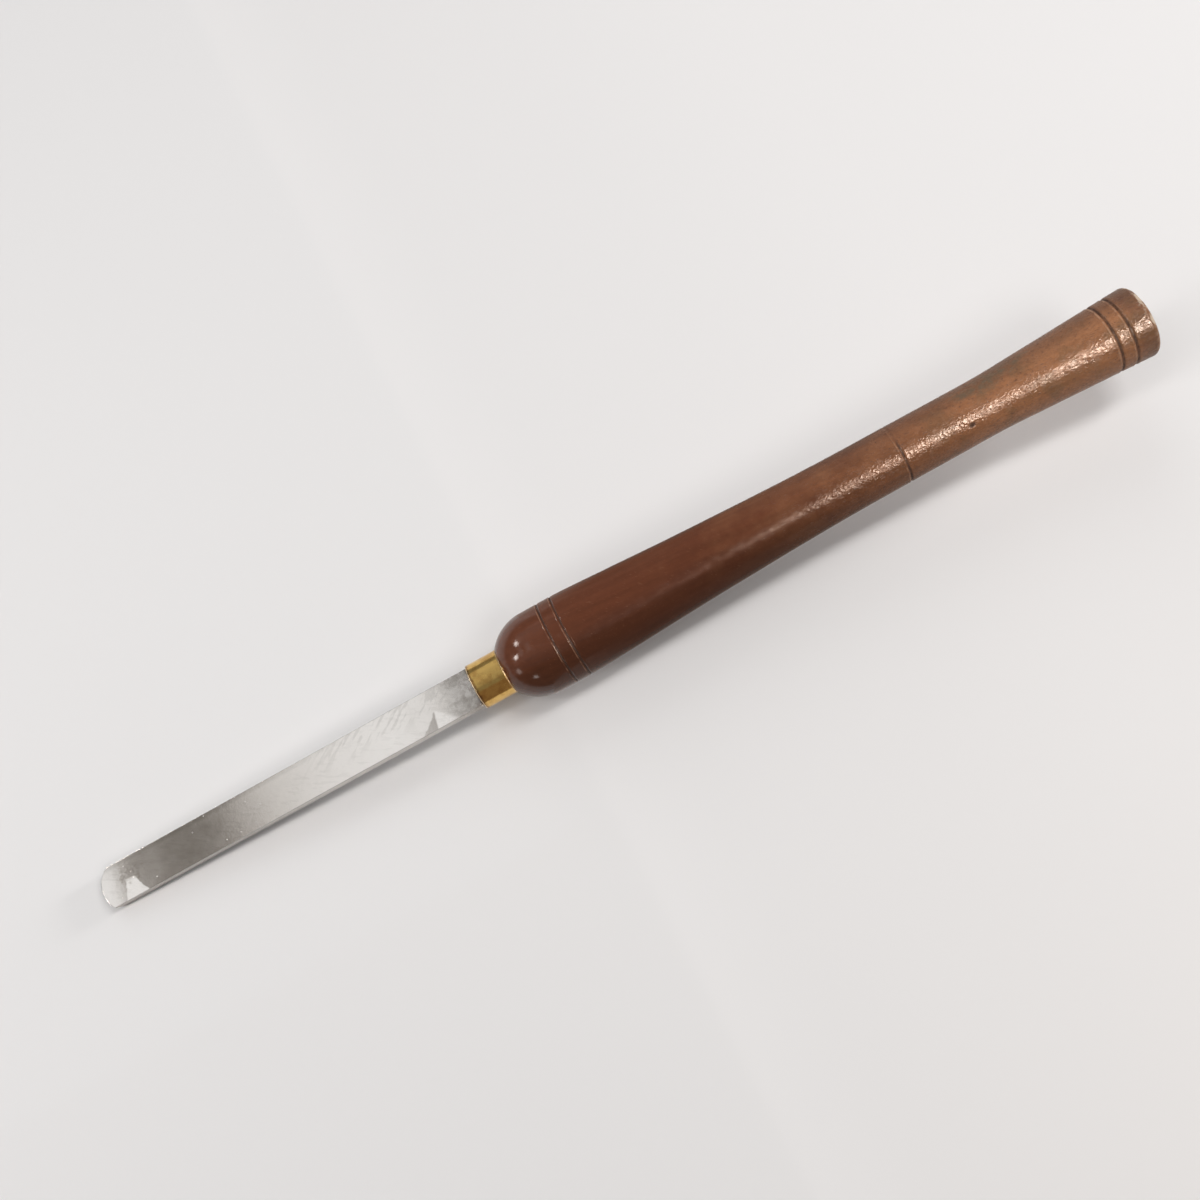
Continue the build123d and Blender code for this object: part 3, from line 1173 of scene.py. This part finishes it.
        dull_steel = settings.dull_steel
        colour = blend(settings.steel, dull_steel, streaks * 0.07)
        colour = blend(colour, dull_steel, dull_and_shaded_end * clouds.eased(0.25, 0.75, 0.3, 0.85))
        colour = blend(colour, self.tarnish_and_ferrule_shade, tarnish_and_shade)
        colour = blend(colour, dull_steel, scuffs * 0.09)
        # Painted shade: the dull sides are darker towards the nose
        colour = blend(colour, dull_steel, side * station.eased(60.0, 120.0, 0.7, 0.3))
        colour = blend(colour, self.painted_foot_shade, foot_shade)
        colour = blend(colour, self.stain_brown, stain)
        colour = blend(colour, dull_steel, far_edge_shade)
        roughness = clouds * 0.04 + 0.09 + scuffs * 0.06 + specks * 0.45
        roughness = (roughness + dull_and_shaded_end * 0.14 + side * 0.2).held()
        grinding = grain_noise(position, (7.0, 0.3, 0.3))
        height = streaks * 0.0012 + grinding * 0.0012 + fine_clouds * 0.004
        height = height - scuffs * 0.0012 - specks * 0.012
        normal = self.leaning_flats(bump(height), position, fine_clouds)
        principled(tree, Base_Color=colour, Metallic=1.0, Roughness=roughness, Normal=normal)
        return material

    def leaning_flats(self, normal, position, fine_clouds):
        """The normal, leaned towards the nose on the small flats of the top."""
        station, across, upright = parted(position)
        top = upright.eased(self.half_thickness - 1.2, self.half_thickness - 1.0)
        for _, corners, lean in self.flats:
            mask = self.flat_mask(station, across, fine_clouds - 0.5, corners) * top
            inputs = {0: tuple(-lean * ALONG), "Scale": mask}
            leaning = node_value(
                normal.tree, "ShaderNodeVectorMath", 0, inputs, operation="SCALE"
            )
            normal = calculate_vector("ADD", normal, leaning)
        return calculate_vector("NORMALIZE", normal)

    def flat_mask(self, station, across, wander, corners):
        """1 inside an outline whose corners run clockwise, seen from above, with rough edges."""
        mask = 1.0
        for (x0, y0), (x1, y1) in zip(corners, corners[1:] + corners[:1]):
            length = math.hypot(x1 - x0, y1 - y0)
            inward_x, inward_y = (y1 - y0) / length, (x0 - x1) / length
            depth = (station - x0) * inward_x + (across - y0) * inward_y + wander
            mask = depth.eased(-0.5, 0.5).smaller(mask)
        return mask


class SCRAPER_OT_stage(bpy.types.Operator):
    """Lay the pale table, hang the lamps and set up the camera"""

    bl_idname = "scraper.stage"
    bl_label = "Set Stage"

    table_half = 4.0
    white = (1.0, 1.0, 1.0)
    # Wide suns: direction towards the sun, its share of the light on the table, its width in
    # degrees and its colour
    suns = (
        ("near_sun", (0.3, -0.55, 0.78), 0.11, 30.0, (1.0, 0.96, 0.94)),
        ("far_sun", (-0.03, 0.81, 0.59), 0.09, 40.0, (1.0, 1.0, 1.0)),
    )
    # Lamps in a row over the tool: direction, share of the light on the table, and lengths along
    # the row and across it
    row_distance = 2.0
    row_tint = (1.0, 0.97, 0.95)
    row_lamps = (
        ("main_box", (0.45, 0.08, 0.89), 0.27, 0.9, 0.24),
        ("nose_box", (-0.42, 0.09, 0.9), 0.13, 1.1, 0.26),
        ("low_nose_box", (-0.95, 0.01, 0.3), 0.08, 0.4, 0.2),
        ("low_butt_box", (0.96, 0.04, 0.235), 0.11, 0.4, 0.24),
    )
    # Small lamps that show only as glints on the rounded front of the handle: direction, strength
    # and half the width
    glint_target = (-0.05, 0.0, 0.03)
    glint_distance = 1.2
    glint_tint = (1.0, 0.93, 0.88)
    glints = (
        ("glint_far_side", (-0.594, 0.588, 0.549), 26.0, 0.08),
        ("glint_front", (-0.837, 0.124, 0.534), 36.0, 0.08),
        ("glint_near_side", (-0.521, -0.825, 0.219), 5.0, 0.08),
        ("glint_low_front", (-0.911, -0.339, 0.235), 3.2, 0.12),
    )
    # Flat cards: middle, the point that it faces, and half its length and height
    cards = {
        "near_flag": ((0.0, -1.1, 0.6), (0.0, 0.0, 0.6), 2.5, 0.6),
        "near_cloth": ((0.0, -1.05, 0.6), (0.0, 0.0, 0.6), 2.5, 0.6),
        # Painted shade on the table: sheets that only reflections see, dark where the table is
        # shaded
        "floor_shade_by_blade": ((-1.045, -0.5875, 0.002), (-1.045, -0.5875, 1.0), 1.0, 0.5125),
        "floor_shade_by_handle": ((0.955, 0.065, 0.002), (0.955, 0.065, 1.0), 1.0, 1.165),
        "blade_card": ((-0.86, 0.335, 1.3), (-0.86, 0.335, 0.0), 0.515, 0.29),
        "ceiling_card": ((-1.14, 1.45, 1.7), (-1.14, 1.45, 0.0), 0.86, 2.1),
    }
    # A strip lamp that shows only as the long highlight on the rear half of the handle
    strip_target = (0.4, 0.0, 0.02)
    strip_direction = (0.14, -0.5, 0.86)
    strip_distance = 1.6
    strip_halves = (0.3, 0.24)
    strip_strength = 43.0
    strip_tint = (1.0, 0.6, 0.38)
    strip_colour = (1.0, 0.9, 0.79)
    # What the steel, the brass and the lacquer see: stops of place and brightness along each card
    strip_stops = ((0.32, 0.2), (0.4, 0.44), (0.48, 0.85), (0.56, 0.84), (0.65, 0.88))
    floor_shade_stops = ((-0.045, 0.6), (0.0, 0.2), (0.1, 0.24), (0.2, 0.5), (2.0, 0.6))
    cloth_and_floor_shade_tint = (1.0, 0.76, 0.62)
    cloth_and_floor_shade_strength = 0.23
    blade_card_tint = (1.0, 0.89, 0.77)
    blade_card_stops = (
        (-1.03, 0.98),
        (-1.0, 1.0),
        (-0.981, 0.97),
        (-0.968, 0.9),
        (-0.949, 0.67),
        (-0.914, 0.37),
        (-0.885, 0.25),
        (-0.86, 0.215),
        (-0.79, 0.185),
        (-0.757, 0.21),
        (-0.731, 0.44),
        (-0.705, 0.63),
        (-0.66, 0.76),
        (-0.6, 0.9),
        (-0.46, 1.0),
        (-0.40, 0.85),
        (-0.365, 0.42),
    )
    ceiling_card_stops = ((-0.65, 0.36), (-0.3, 0.43), (0.6, 0.45), (1.6, 0.6))
    lens_mm = 45.0
    sensor_mm = 36.0

    def execute(self, context):
        settings = context.scene.scraper_stage
        self.lay_table(settings)
        self.light_room(context.scene, settings)
        for sun in self.suns:
            self.hang_sun(*sun)
        for lamp in self.row_lamps:
            self.hang_row_lamp(*lamp)
        self.hang_cloths_and_floor_shade()
        self.hang_cards()
        self.set_up_camera(context.scene, settings)
        context.scene.view_settings.view_transform = "Standard"
        return {"FINISHED"}

    def lay_table(self, settings):
        """A plain pale table."""
        far = self.table_half
        mesh = bpy.data.meshes.new("table")
        corners = [(-far, -far, 0), (far, -far, 0), (far, far, 0), (-far, far, 0)]
        mesh.from_pydata(corners, [], [(0, 1, 2, 3)])
        table = new_object("table", mesh)
        material, tree = empty_material("table_top")
        principled(tree, Base_Color=(*settings.table_colour, 1.0), Roughness=0.6)
        mesh.materials.append(material)

    def light_room(self, scene, settings):
        """Even light from all sides."""
        world = bpy.data.worlds.new("room")
        scene.world = world
        world.use_nodes = True
        tree = world.node_tree
        tree.nodes.clear()
        inputs = {"Color": (*self.white, 1.0), "Strength": settings.room_light}
        light = node_value(tree, "ShaderNodeBackground", 0, inputs)
        add_node(tree, "ShaderNodeOutputWorld", {"Surface": light})

    def hang_lamp(self, name, kind, towards, energy, colour):
        """A lamp that faces the tool and that no reflection sees."""
        lamp = bpy.data.lights.new(name, kind)
        lamp.energy = energy
        lamp.color = colour
        hung = new_object(name, lamp)
        hung.rotation_mode = "QUATERNION"
        hung.rotation_quaternion = towards.to_track_quat("Z", "Y")
        hung.visible_glossy = False
        return hung

    def hang_sun(self, name, direction, share, width, colour):
        """A wide sun."""
        towards = Vector(direction).normalized()
        hung = self.hang_lamp(name, "SUN", towards, share * math.pi / towards.z, colour)
        hung.data.angle = math.radians(width)

    def hang_row_lamp(self, name, direction, share, length, width):
        """A long lamp of the row over the tool."""
        towards = Vector(direction).normalized()
        energy = share * math.pi**2 * self.row_distance**2 / towards.z
        hung = self.hang_lamp(name, "AREA", towards, energy, self.row_tint)
        hung.location = towards * self.row_distance
        hung.data.shape = "RECTANGLE"
        hung.data.size = width
        hung.data.size_y = length

    def hang_cloths_and_floor_shade(self):
        """Near-side flag that stops light; near-side cloth and painted floor shade only reflected.
        """
        black = self.glow("black_cloth", 0.0, self.white)
        brown = self.glow("brown_cloth_and_floor_shade", self.cloth_and_floor_shade_strength, self.cloth_and_floor_shade_tint)
        graded_floor_shade = self.graded_glow("painted_floor_shade", "X", self.floor_shade_stops, self.cloth_and_floor_shade_tint)
        flag = self.hang_card("near_flag", black, *self.cards["near_flag"])
        flag.visible_glossy = False
        flag.visible_diffuse = True
        flag.visible_shadow = True
        cloths = {
            "near_cloth": brown,
            "floor_shade_by_blade": brown,
            "floor_shade_by_handle": graded_floor_shade,
        }
        for name, material in cloths.items():
            self.hang_card(name, material, *self.cards[name])

    def hang_cards(self):
        """Small lamps and cards that show in the steel, the brass and the lacquer."""
        target = Vector(self.glint_target)
        for name, direction, strength, half in self.glints:
            centre = target + Vector(direction).normalized() * self.glint_distance
            glow = self.glow(name, strength, self.glint_tint)
            self.hang_card(name, glow, centre, target, half, half)
        target = Vector(self.strip_target)
        centre = target + Vector(self.strip_direction).normalized() * self.strip_distance
        glow = self.graded_glow(
            "near_strip",
            "X",
            self.strip_stops,
            self.strip_tint,
            self.strip_strength,
            self.strip_colour,
        )
        self.hang_card("near_strip", glow, centre, target, *self.strip_halves)
        glow = self.graded_glow("blade_card", "X", self.blade_card_stops, self.blade_card_tint)
        self.hang_card("blade_card", glow, *self.cards["blade_card"])
        glow = self.graded_glow("ceiling_card", "Y", self.ceiling_card_stops, self.white)
        self.hang_card("ceiling_card", glow, *self.cards["ceiling_card"])

    def hang_card(self, name, material, centre, facing, half_length, half_height):
        """A flat card that only reflections see."""
        centre = Vector(centre)
        towards = (Vector(facing) - centre).normalized()
        side = Vector((1, 0, 0)) if abs(towards.x) < 0.9 else Vector((0, 1, 0))
        side = (side - towards * side.dot(towards)).normalized()
        rise = towards.cross(side)
        corners = [
            centre + side * half_length * a + rise * half_height * b
            for a, b in ((-1, -1), (1, -1), (1, 1), (-1, 1))
        ]
        mesh = bpy.data.meshes.new(name)
        mesh.from_pydata([tuple(corner) for corner in corners], [], [(0, 1, 2, 3)])
        mesh.materials.append(material)
        card = new_object(name, mesh)
        card.visible_camera = False
        card.visible_shadow = False
        card.visible_transmission = False
        card.visible_diffuse = False
        return card

    def glow(self, name, strength, colour):
        """An even glow."""
        material, tree = empty_material(name)
        inputs = {"Color": (*colour, 1.0), "Strength": strength}
        light = node_value(tree, "ShaderNodeEmission", 0, inputs)
        add_node(tree, "ShaderNodeOutputMaterial", {"Surface": light})
        return material

    def graded_glow(self, name, axis, stops, tint, strength=1.0, colour=white):
        """A glow that changes along one axis, from stop to stop, and is tinted where it is dim."""
        material, tree = empty_material(name)
        position = node_value(tree, "ShaderNodeTexCoord", "Object")
        place = parted(position)["XYZ".index(axis)]
        first, last = stops[0][0], stops[-1][0]
        inputs = {"Value": place, "From Min": first, "From Max": last}
        share = node_value(tree, "ShaderNodeMapRange", "Result", inputs)
        ramp = add_node(tree, "ShaderNodeValToRGB", {"Fac": share})
        elements = ramp.color_ramp.elements
        while len(elements) < len(stops):
            elements.new(0.5)
        for element, (spot, brightness) in zip(elements, stops):
            element.position = (spot - first) / (last - first)
            dimness = 1.0 - min(brightness, 1.0)
            element.color = (*(brightness * (1.0 - dimness * (1.0 - c)) for c in tint), 1.0)
        warmed = calculate_vector("MULTIPLY", Value(ramp.outputs["Color"]), colour)
        inputs = {"Color": warmed, "Strength": strength}
        light = node_value(tree, "ShaderNodeEmission", 0, inputs)
        add_node(tree, "ShaderNodeOutputMaterial", {"Surface": light})
        return material

    def set_up_camera(self, scene, settings):
        """A camera where the photograph was taken from."""
        azimuth, elevation = settings.camera_azimuth, settings.camera_elevation
        back = Vector(
            (
                math.sin(azimuth) * math.cos(elevation),
                -math.cos(azimuth) * math.cos(elevation),
                math.sin(elevation),
            )
        )
        lens = bpy.data.cameras.new("camera")
        lens.sensor_width = self.sensor_mm
        lens.lens = self.lens_mm
        lens.clip_start = 0.01
        camera = new_object("camera", lens)
        camera.location = Vector(settings.camera_target) + back * settings.camera_distance
        level = (-back).to_track_quat("-Z", "Y")
        camera.rotation_mode = "QUATERNION"
        camera.rotation_quaternion = level @ Quaternion((0, 0, 1), settings.camera_roll)
        scene.camera = camera


class SCRAPER_PT_panel(bpy.types.Panel):
    """Steps that make the scraper"""

    bl_label = "Woodturning Scraper"
    bl_space_type = "VIEW_3D"
    bl_region_type = "UI"
    bl_category = "Scraper"

    def draw(self, context):
        for step in STEPS:
            self.layout.operator(step.bl_idname)


STEPS = (SCRAPER_OT_stage, SCRAPER_OT_handle, SCRAPER_OT_ferrule, SCRAPER_OT_blade)
SETTINGS = {
    "scraper_stage": ScraperStageSettings,
    "scraper_handle": ScraperHandleSettings,
    "scraper_ferrule": ScraperFerruleSettings,
    "scraper_blade": ScraperBladeSettings,
}
CLASSES = (*SETTINGS.values(), *STEPS, SCRAPER_PT_panel)


def register():
    for cls in CLASSES:
        bpy.utils.register_class(cls)
    for name, group in SETTINGS.items():
        setattr(bpy.types.Scene, name, PointerProperty(type=group))


def unregister():
    for name in SETTINGS:
        delattr(bpy.types.Scene, name)
    for cls in reversed(CLASSES):
        bpy.utils.unregister_class(cls)


def main():
    register()
    bpy.ops.scraper.stage()
    bpy.ops.scraper.handle()
    bpy.ops.scraper.ferrule()
    bpy.ops.scraper.blade()


if __name__ == "__main__":
    main()
